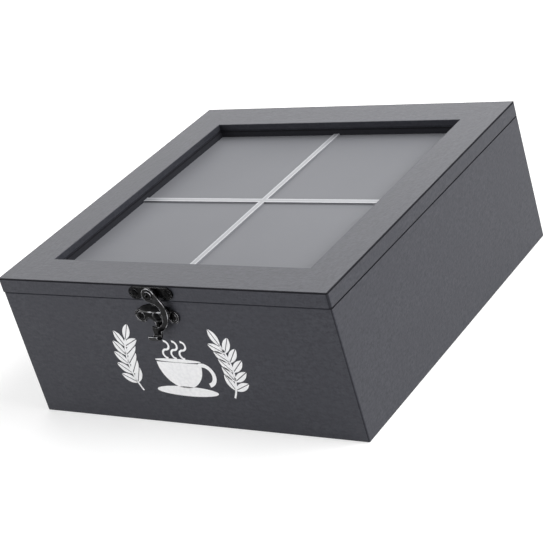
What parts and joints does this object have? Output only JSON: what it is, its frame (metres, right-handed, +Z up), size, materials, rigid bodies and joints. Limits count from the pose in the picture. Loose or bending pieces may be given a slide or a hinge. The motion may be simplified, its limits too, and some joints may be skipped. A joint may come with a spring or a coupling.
{
  "type": "tea bag organizer box",
  "caption": "Square painted wooden tea bag box with crossed dividers, hinged lid with a framed window and a swinging hook latch.",
  "frame": {"origin": "middle of the footprint, on the surface that the box stands on", "axes": "+Z up, the front with the latch faces -Y, +X is the right-hand side seen from the front"},
  "size_m": [0.18, 0.1903, 0.072],
  "materials": {
    "painted_wood": "satin",
    "acrylic_pane": "satin",
    "window_bars": "satin",
    "black_steel": "gloss"
  },
  "bodies": {
    "box": {"front_panel": "painted_wood", "back_panel": "painted_wood", "left_panel": "painted_wood", "right_panel": "painted_wood", "bottom_panel": "painted_wood", "divider_crosswise": "painted_wood", "divider_lengthwise": "painted_wood", "left_hinge_box_leaf": "black_steel", "right_hinge_box_leaf": "black_steel", "left_hinge_pin": "black_steel", "right_hinge_pin": "black_steel", "hinge_box_screws": "black_steel", "catch_plate": "black_steel", "catch_screws": "black_steel"},
    "lid": {"lid_front_rail": "painted_wood", "lid_back_rail": "painted_wood", "lid_left_rail": "painted_wood", "lid_right_rail": "painted_wood", "window_pane": "acrylic_pane", "window_bar_crosswise": "window_bars", "window_bar_lengthwise": "window_bars", "front_retaining_strip": "painted_wood", "back_retaining_strip": "painted_wood", "left_retaining_strip": "painted_wood", "right_retaining_strip": "painted_wood", "left_hinge_lid_leaf": "black_steel", "right_hinge_lid_leaf": "black_steel", "hinge_lid_screws": "black_steel", "latch_plate": "black_steel", "latch_rivet": "black_steel", "latch_screws": "black_steel"},
    "latch_arm": {"latch_arm": "black_steel"}
  },
  "joints": [
    {"name": "lid_hinge", "type": "hinge", "parent": "box", "child": "lid", "pos_m": [0, 0.0919, 0.0647], "axis": [-1, 0, 0], "range_deg": [0, 180]},
    {"name": "latch_swing", "type": "hinge", "parent": "lid", "child": "latch_arm", "pos_m": [-0.001, -0.09165, 0.0685], "axis": [0, -1, 0], "range_deg": [0, 120]}
  ]
}
